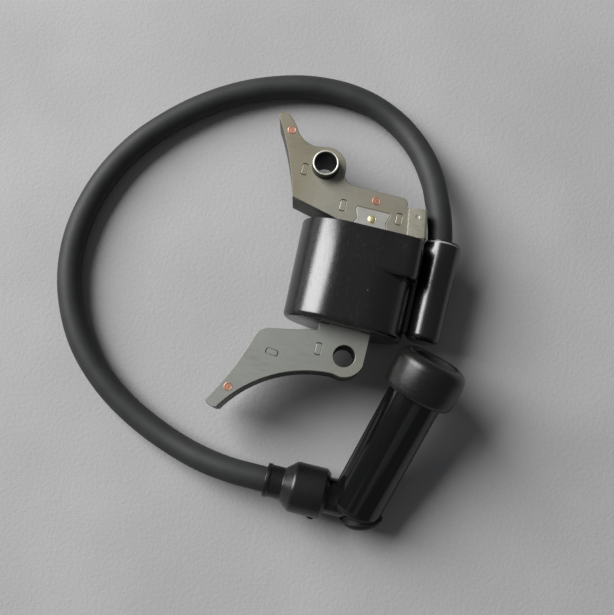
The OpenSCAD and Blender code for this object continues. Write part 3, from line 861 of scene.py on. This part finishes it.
def shoulder_ring(margin, y):
    """Outline of the square shoulder beside the tower, with large round right-hand corners."""
    right, top = CASE_RIGHT - margin, 2 * CASE_RADIUS - margin
    corners = [(SHOULDER_X, margin), (right, margin), (right, top), (SHOULDER_X, top)]
    round_off = SHOULDER_CORNER - margin
    outline = rounded(corners, [0.5, round_off, round_off, 0.5], 8, closed=True)
    return [(p.x, y, p.y) for p in outline]


def lathe_solid(profile, place, steps=96):
    """A turned solid in a frame, for booleans."""
    obj = solid(*lathe(profile, steps))
    obj.data.transform(place)
    return obj


def case_body():
    """The case's round-ended block, closed at the bottom and slightly broken at the mouth."""
    rings = [stadium(m, y) for y, m in rim_levels(CASE_BOTTOM, CASE_RIM, 8)]
    rings.append(stadium(0, CASE_BOTTOM + 2 * CASE_RIM))
    rings.append(stadium(0, CASE_MOUTH - 0.4))
    rings.append(stadium(0.12, CASE_MOUTH - 0.12))
    rings.append(stadium(0.4, CASE_MOUTH))
    return solid(*loft(rings), "case")


def tower_body():
    """The lead tower: a rounded foot and a rim band that make_case paints pale as a highlight."""
    foot = [(TOWER_FOOT_RADIUS - m, h) for h, m in rim_levels(TOWER_BOTTOM, 2.0, 10)]
    rim = [(TOWER_RADIUS, TOWER_TOP - RIM_HIGHLIGHT_BAND - 0.05), (TOWER_RADIUS, TOWER_TOP - 0.15),
           (TOWER_RADIUS - 0.15, TOWER_TOP)]
    return lathe_solid([(0, TOWER_BOTTOM)] + foot + rim + [(0, TOWER_TOP)], TOWER_FRAME)


def tower_bore():
    """What the tower leaves open: the lead's bore and the grommet's seat."""
    seat, above = TOWER_TOP - GROMMET_DEPTH, TOWER_TOP + 2
    return lathe_solid([(0, TOWER_BORE_START), (LEAD_BORE, TOWER_BORE_START), (LEAD_BORE, seat),
                        (GROMMET_RADIUS, seat), (GROMMET_RADIUS, above), (0, above)],
                       TOWER_FRAME)


def make_case():
    """Glossy case with its shoulder, the web and the lead tower, open at its mouth."""
    shoulder = solid(*loft([shoulder_ring(m, y) for y, m in rim_levels(SHOULDER_Y, 1.5)]
                           + [shoulder_ring(0.4, CASE_MOUTH)]))
    web = solid(*loft(box_rings((CASE_RIGHT - 4, TOWER_BOTTOM + 1.5, AXIS_Z - WEB_THICKNESS / 2),
                                (TOWER_X, CASE_MOUTH, AXIS_Z + WEB_THICKNESS / 2), 0.4, 0.6, 3)))
    cavity = solid(*loft([stadium(CASE_WALL, y, CASE_LEAN)
                          for y in (CASE_BOTTOM + CASE_WALL, CASE_MOUTH + 2)]))
    limb_slot = box_solid((LIMB_X - LIMB_WIDTH / 2, CASE_BOTTOM - 1, CORE_BOTTOM),
                          (LIMB_X + LIMB_WIDTH / 2, CASE_BOTTOM + 3, CORE_TOP))
    case = combine(case_body(), [shoulder, tower_body(), web],
                   [cavity, limb_slot, tower_bore()])
    case.name = "case_moulding"
    dress(case, "case_plastic", "painted_highlight_rim")
    # Painted highlight: the tower's rim band takes the pale look.
    for face, spot in faces_along(case, TOWER_FRAME):
        if spot.z > TOWER_TOP - RIM_HIGHLIGHT_BAND and spot.xy.length < TOWER_RADIUS + 0.1:
            face.material_index = 1
    shade(case, 30)
    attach(case, COIL)
    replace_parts(case, "coil_case")
    soften(case, 0.3, angle=40)


make_case()


# ---- Small metal pieces on the core ---------------------------------------------------

def ring_piece(name, profile, place, body, slot, steps=96):
    """A turned piece from a closed profile of (radius, height) that stays off the axis."""
    verts, faces = lathe(profile + [profile[0]], steps)
    made = piece(name, verts, faces, body, slot)
    made.data.transform(place)
    return made


def turned(points, radii, steps=6):
    """Profile of (radius, height) with an arc at each corner."""
    return [tuple(p) for p in rounded(points, radii, steps, closed=True)]


def make_sleeve():
    """Sleeve with a bright rolled rim; its walls inside and out are painted dark as shade."""
    outer = SLEEVE_RADIUS + SLEEVE_WALL
    profile = turned([(SLEEVE_RADIUS, CORE_BOTTOM), (outer, CORE_BOTTOM),
                      (outer, CORE_TOP + SLEEVE_PROUD), (SLEEVE_RADIUS, CORE_TOP + SLEEVE_PROUD)],
                     [0.1, 0.1, 0.22, 0.22])
    place = Matrix.Translation((SLEEVE_CENTRE[0] * MM, SLEEVE_CENTRE[1] * MM, 0))
    sleeve = ring_piece("sleeve", profile, place, COIL, "plated_steel")
    dress(sleeve, "plated_steel", "painted_shade_sleeve_wall")
    # Painted shade: the walls take the dark look, the rim stays bright.
    for face in sleeve.data.polygons:
        if abs(face.normal.z) < 0.35:
            face.material_index = 1
    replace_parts(sleeve, "mounting_sleeve")


def make_rivets(node, centres, dome, slot):
    """Rivets whose upset heads stand a little proud, each inside a pressed ring."""
    head = [(1.26, 0.0), (1.24, 0.06), (1.12, 0.09), (1.06, 0.06), (1.0, 0.12), (0.82, dome * 0.75),
            (0.5, dome * 0.95), (0, dome)]
    lower = [(r, CORE_BOTTOM - h) for r, h in reversed(head)]
    profile = lower + [(r, CORE_TOP + h) for r, h in head]
    verts, faces = [], []
    for x, y in centres:
        more, links = lathe(profile, 48)
        faces += [tuple(k + len(verts) for k in face) for face in links]
        verts += [(x + v[0], y + v[1], v[2]) for v in more]
    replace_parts(piece(node + "_heads", verts, faces, COIL, slot), node)


def make_ground_clip():
    """Sheet folded round the arm's leaning end, with a dimple pressed into its top."""
    sheet, left, right = 0.5, -CLIP_LENGTH, 0.0
    outer = rounded([(left, CORE_TOP + sheet), (right + sheet, CORE_TOP + sheet),
                     (right + sheet, CORE_BOTTOM - sheet), (left, CORE_BOTTOM - sheet)],
                    [0, 0.8, 0.8, 0])
    inner = rounded([(left, CORE_BOTTOM), (right, CORE_BOTTOM), (right, CORE_TOP), (left, CORE_TOP)],
                    [0, 0.3, 0.3, 0])
    clip = solid(*loft([[(p.x, y, p.y) for p in outer + inner]
                        for y in (CLIP_FRONT, CLIP_BACK)]), "clip")
    dimple = lathe_solid([(0, -0.1), (0.35, -0.09), (0.6, -0.05), (0.7, 0.05), (0.7, 1), (0, 1)],
                         Matrix.Translation((-2.5 * MM, 7 * MM, (CORE_TOP + sheet) * MM)), 32)
    clip = combine(clip, cut=[dimple])
    clip.data.transform(Matrix.Translation((ARM_END[0] * MM, ARM_END[1] * MM, 0))
                        @ Matrix.Rotation(CLIP_TURN, 4, "Z"))
    dress(clip, "clip_plating")
    shade(clip, 30)
    soften(clip, 0.2)
    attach(clip, COIL)
    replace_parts(clip, "ground_clip")


make_sleeve()
make_rivets("limb_rivet", [LIMB_RIVET], LIMB_RIVET_DOME, "brass")
make_rivets("core_rivets", CORE_RIVETS, CORE_RIVET_DOME, "coppered_rivet")
make_ground_clip()


# ---- Grommet and plug cap -------------------------------------------------------------

def make_grommet():
    """Rubber ring in the tower's mouth, with a flange that stands on the rim."""
    seat, top = TOWER_TOP - GROMMET_DEPTH, TOWER_TOP + GROMMET_PROUD
    profile = turned([(LEAD_RADIUS, seat), (GROMMET_RADIUS, seat), (GROMMET_RADIUS, TOWER_TOP),
                      (GROMMET_FLANGE, TOWER_TOP), (GROMMET_FLANGE, top), (LEAD_RADIUS, top)],
                     [0, 0.3, 0, 0.1, 0.3, 0.2])
    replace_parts(ring_piece("grommet", profile, TOWER_FRAME, COIL, "seal_rubber"), "lead_grommet")


def make_boot():
    """Rubber boot: a ribbed cuff on the lead, a short cone and a barrel, with a side lug."""
    fit = LEAD_RADIUS + 0.05
    profile = turned([(fit, BOOT_START), (BOOT_CUFF_RADIUS, BOOT_START),
                      (BOOT_CUFF_RADIUS + 0.1, BOOT_START + 1.1),
                      (BOOT_WAIST_RADIUS, BOOT_START + 1.5), (BOOT_WAIST_RADIUS, BOOT_CONE),
                      (BOOT_RADIUS, BOOT_CONE + 3.2), (BOOT_RADIUS, BOOT_END - 1.2),
                      (BOOT_RADIUS - 1, BOOT_END), (NECK_RADIUS, BOOT_END),
                      (NECK_RADIUS, NECK_START), (fit, NECK_START)],
                     [0.2, 0.3, 0.2, 0.2, 0.3, 1.6, 0.5, 0.3, 0, 0, 0], 10)
    boot = ring_piece("boot", profile, LEAD_FRAME, CAP, "boot_rubber")
    lug = lathe_solid(turned([(0, -LUG_HALF), (LUG_RADIUS, -LUG_HALF), (LUG_RADIUS, LUG_HALF),
                              (0, LUG_HALF)], [0, 0.4, 0.4, 0]),
                      Matrix.Translation(Vector(LUG_CENTRE) * MM), 32)
    boot = combine(boot, [lug])
    dress(boot, "boot_rubber")
    shade(boot, 35)
    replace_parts(boot, "cable_boot")
    return boot


def heel_profile():
    """Profile of the elbow's heel: a post, a lip near its end and a low dome."""
    lip = [(HEEL_RADIUS, HEEL_LIP - 0.5), (HEEL_RADIUS + 0.15, HEEL_LIP - 0.15),
           (HEEL_LIP_RADIUS - 0.1, HEEL_LIP), (HEEL_LIP_RADIUS, HEEL_LIP + 0.2),
           (HEEL_LIP_RADIUS, HEEL_LIP_TOP - 0.2), (HEEL_LIP_RADIUS - 0.15, HEEL_LIP_TOP)]
    rise = HEEL_END - HEEL_LIP_TOP
    dome = [(HEEL_RADIUS * math.cos(a), HEEL_LIP_TOP + rise * math.sin(a))
            for a in (math.pi / 2 * k / 10 for k in range(10))]
    return [(0, 0), (HEEL_RADIUS, 0)] + lip + dome + [(0, HEEL_END)]


def tube_profile():
    """Profile of the cap's tube, round at its back and slightly broken at its mouth."""
    back = [(TUBE_RADIUS - m, h) for h, m in rim_levels(TUBE_START, 1.8, 8)]
    mouth = [(TUBE_RADIUS, TUBE_END - 0.4), (TUBE_RADIUS - 0.4, TUBE_END)]
    return [(0, TUBE_START)] + back + mouth + [(0, TUBE_END)]


def cap_bore():
    """What the tube leaves open: the resistor's chamber, the socket's and the plug's well."""
    above = TUBE_END + 6
    return [(0, CHAMBER_START), (CHAMBER_RADIUS, CHAMBER_START), (CHAMBER_RADIUS, SOCKET_BASE),
            (SOCKET_CHAMBER_RADIUS, SOCKET_BASE), (SOCKET_CHAMBER_RADIUS, WELL_START),
            (WELL_RADIUS, WELL_START), (WELL_RADIUS, above), (0, above)]


def lead_bore():
    """What the neck leaves open: the lead's end and the screw it is turned onto."""
    start, end, stop = NECK_START - 1, LEAD_END + 0.2, ELBOW.x - 1
    radius = LEAD_RADIUS + 0.1
    return [(0, start), (radius, start), (radius, end), (SCREW_HOLE, end), (SCREW_HOLE, stop),
            (0, stop)]


def make_cap_shell():
    """Moulded elbow: tube, neck and lipped heel, with a parting line along the tube."""
    neck = [(0, NECK_START), (NECK_RADIUS, NECK_START), (NECK_RADIUS, ELBOW.x), (0, ELBOW.x)]
    seam_reach = TUBE_RADIUS + SEAM_PROUD
    seam = box_solid((-seam_reach, -SEAM_HALF, 0), (seam_reach, SEAM_HALF, COLLAR_BACK - 0.5))
    seam.data.transform(TUBE_FRAME)
    shell = combine(lathe_solid(tube_profile(), TUBE_FRAME, 128),
                    [lathe_solid(neck, LEAD_FRAME), lathe_solid(heel_profile(), HEEL_FRAME), seam],
                    [lathe_solid(cap_bore(), TUBE_FRAME, 64),
                     lathe_solid(lead_bore(), LEAD_FRAME, 64)])
    shell.name = "cap_moulding"
    dress(shell, "cap_plastic", "painted_shade_cavity", "heel_plastic")
    # Painted shade: the chambers inside the tube take the near-black cavity look.
    for face, spot in faces_along(shell, TUBE_FRAME):
        if 0 < spot.z < TUBE_END - 0.5 and spot.xy.length < WELL_RADIUS + 0.1:
            face.material_index = 1
        elif spot.z < -0.8 and spot.x > -7:
            face.material_index = 2
    shade(shell, 35)
    soften(shell, 0.45, angle=40)
    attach(shell, CAP)
    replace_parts(shell, "cap_shell")
    return shell


def make_collar():
    """Rubber collar with a round shoulder and a rolled lip about a wide mouth."""
    profile = turned([(TUBE_RADIUS, COLLAR_BACK), (COLLAR_RADIUS - 0.3, COLLAR_BACK + 0.3),
                      (COLLAR_RADIUS, COLLAR_BACK + 4), (COLLAR_RADIUS - 0.1, COLLAR_MOUTH),
                      (COLLAR_LIP, COLLAR_MOUTH - 0.3), (COLLAR_LIP, TUBE_END), (TUBE_RADIUS, TUBE_END)],
                     [0.2, 1.9, 0, 3.3, 0.8, 0, 0], 10)
    collar = ring_piece("collar", profile, TUBE_FRAME, CAP, "seal_rubber", 128)
    dress(collar, "seal_rubber", "painted_shade_cavity")
    # Painted shade: the collar's faces inside its lip take the near-black cavity look.
    for face, spot in faces_along(collar, TUBE_FRAME):
        if spot.xy.length < COLLAR_LIP + 0.1 and spot.z < COLLAR_MOUTH - 0.5:
            face.material_index = 1
    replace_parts(collar, "seal_collar")
    return collar


make_grommet()
boot = make_boot()
shell = make_cap_shell()
collar = make_collar()


# ---- Pieces that keep their CAD shape -------------------------------------------------

def dress_cad():
    """Gives the CAD nodes that stay their materials."""
    for part in frame["record"]["subparts"]:
        dress(nodes[part["node"]], part["material_slot"])


dress_cad()


# ---- Floor and light ------------------------------------------------------------------

def add_floor():
    """A wide pale surface with a very slight nap."""
    look = Look("floor_cloth", Specular_IOR_Level=0.1)
    cloud = look.noise(0.02, 3, 0.5)
    nap = look.noise(0.8, 4, 0.7)
    look.colour(look.mix(look.ramp(cloud, 0.3, 0.7), (0.322, 0.319, 0.322), (0.355, 0.352, 0.355)))
    look.roughness(look.ramp(nap, 0.3, 0.7, 0.85, 0.95))
    look.bump((nap, 0.15))
    mesh = bpy.data.meshes.new("floor")
    reach = 3.0
    mesh.from_pydata([(-reach, -reach, 0), (reach, -reach, 0), (reach, reach, 0), (-reach, reach, 0)],
                     [], [(0, 1, 2, 3)])
    floor = bpy.data.objects.new("floor", mesh)
    bpy.context.scene.collection.objects.link(floor)
    mesh.materials.append(look.material)


def add_window(place, size, energy):
    """A large area light aimed at the middle of the case."""
    data = bpy.data.lights.new("window", "AREA")
    data.shape = "RECTANGLE"
    data.size, data.size_y = size[0] * MM, size[1] * MM
    data.energy = energy
    light = bpy.data.objects.new("window", data)
    bpy.context.scene.collection.objects.link(light)
    light.location = Vector(place) * MM
    toward = (Vector((0, 0, AXIS_Z)) - Vector(place)).normalized()
    light.rotation_mode = "QUATERNION"
    light.rotation_quaternion = toward.to_track_quat("-Z", "Y")


def add_world():
    """A dim, slightly blue fill from all sides."""
    world = bpy.data.worlds.new("studio")
    world.use_nodes = True
    back = world.node_tree.nodes["Background"]
    back.inputs["Color"].default_value = (0.95, 0.97, 1.0, 1)
    back.inputs["Strength"].default_value = 0.14
    bpy.context.scene.world = world


add_floor()
add_world()
add_window(place=(-1260, 450, 990), size=(1200, 1290), energy=62.0)

bpy.context.scene.view_settings.view_transform = "Standard"

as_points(lead_path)
